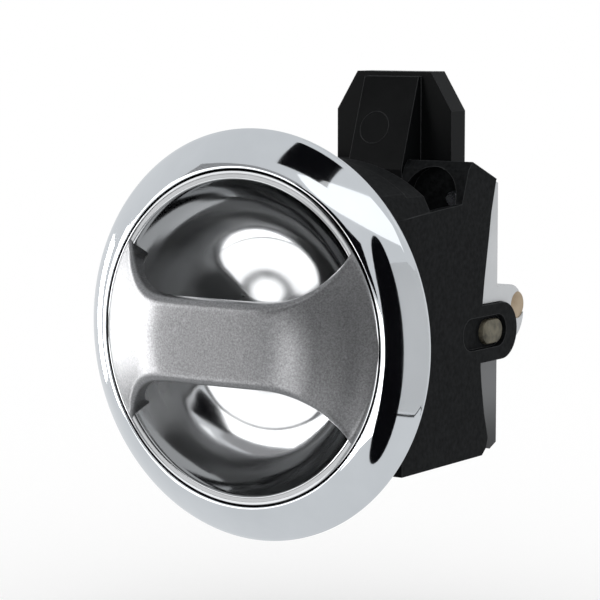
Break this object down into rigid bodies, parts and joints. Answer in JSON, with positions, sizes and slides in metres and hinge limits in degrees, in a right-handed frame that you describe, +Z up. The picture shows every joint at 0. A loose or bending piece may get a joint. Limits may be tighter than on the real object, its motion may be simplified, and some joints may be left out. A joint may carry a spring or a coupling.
{
  "type": "push-button lock",
  "caption": "Flush push-button lock with a bright round bezel, an arched grip bar over a polished finger bowl, a black body and a sprung bolt that the button draws down.",
  "frame": {"origin": "centre of the round collar in the plane of the ring that rests on the panel", "axes": "+Y goes into the panel along the collar's axis, +X is to the right seen from the front, +Z is up, the way the bolt stands out"},
  "size_m": [0.07, 0.0715, 0.0788],
  "materials": {
    "bright_chrome": "polished bright plate",
    "satin_chrome": "satin plate with a fine grain",
    "black_plastic": "finely textured moulded plastic",
    "bolt_plastic": "smooth moulded plastic with a slight sheen",
    "grey_frame": "pale satin casting",
    "tan_pin": "dull tan metal",
    "cast_zinc": "plain grey casting",
    "screw_steel": "plated steel",
    "spring_steel": "drawn spring wire",
    "white_nylon": "plain moulded nylon",
    "black_rubber": "soft matt rubber"
  },
  "bodies": {
    "lock_body": {"bezel_ring": "bright_chrome", "panel_gasket": "black_rubber", "bezel_screws": "screw_steel", "stem_bushing": "white_nylon", "housing": "black_plastic", "back_frame": "grey_frame", "frame_screws": "screw_steel", "bolt_springs": "spring_steel", "button_spring": "spring_steel", "spring_guides": "screw_steel", "pivot_pin": "tan_pin", "pivot_spacers": "tan_pin", "pin_clip": "spring_steel", "rear_pin": "tan_pin", "rear_cover": "black_plastic", "base_cover": "black_plastic", "cover_screws": "screw_steel"},
    "button": {"finger_bowl": "bright_chrome", "grip_bar": "satin_chrome", "bar_screws": "screw_steel", "push_stem": "cast_zinc", "stem_screw": "screw_steel"},
    "bolt": {"bolt": "bolt_plastic"},
    "rocker": {"rocker": "cast_zinc"}
  },
  "joints": [
    {"name": "button_press", "type": "slide", "parent": "lock_body", "child": "button", "axis": [0, 1, 0], "range_m": [0, 0.004], "stiffness_N_per_m": 900, "springref_m": -0.006, "deforming": ["button_spring"]},
    {"name": "bolt_slide", "type": "slide", "parent": "lock_body", "child": "bolt", "axis": [0, 0, -1], "range_m": [0, 0.0062], "stiffness_N_per_m": 300, "springref_m": -0.006, "deforming": ["bolt_springs"]},
    {"name": "rocker_turn", "type": "hinge", "parent": "lock_body", "child": "rocker", "pos_m": [0, 0.0475, -0.0026], "axis": [1, 0, 0], "range_deg": [0, 30.5]}
  ],
  "couplings": [
    {"joint": "bolt_slide", "follows": "button_press", "ratio": 1.5},
    {"joint": "rocker_turn", "follows": "button_press", "rad_per_m": 130}
  ]
}
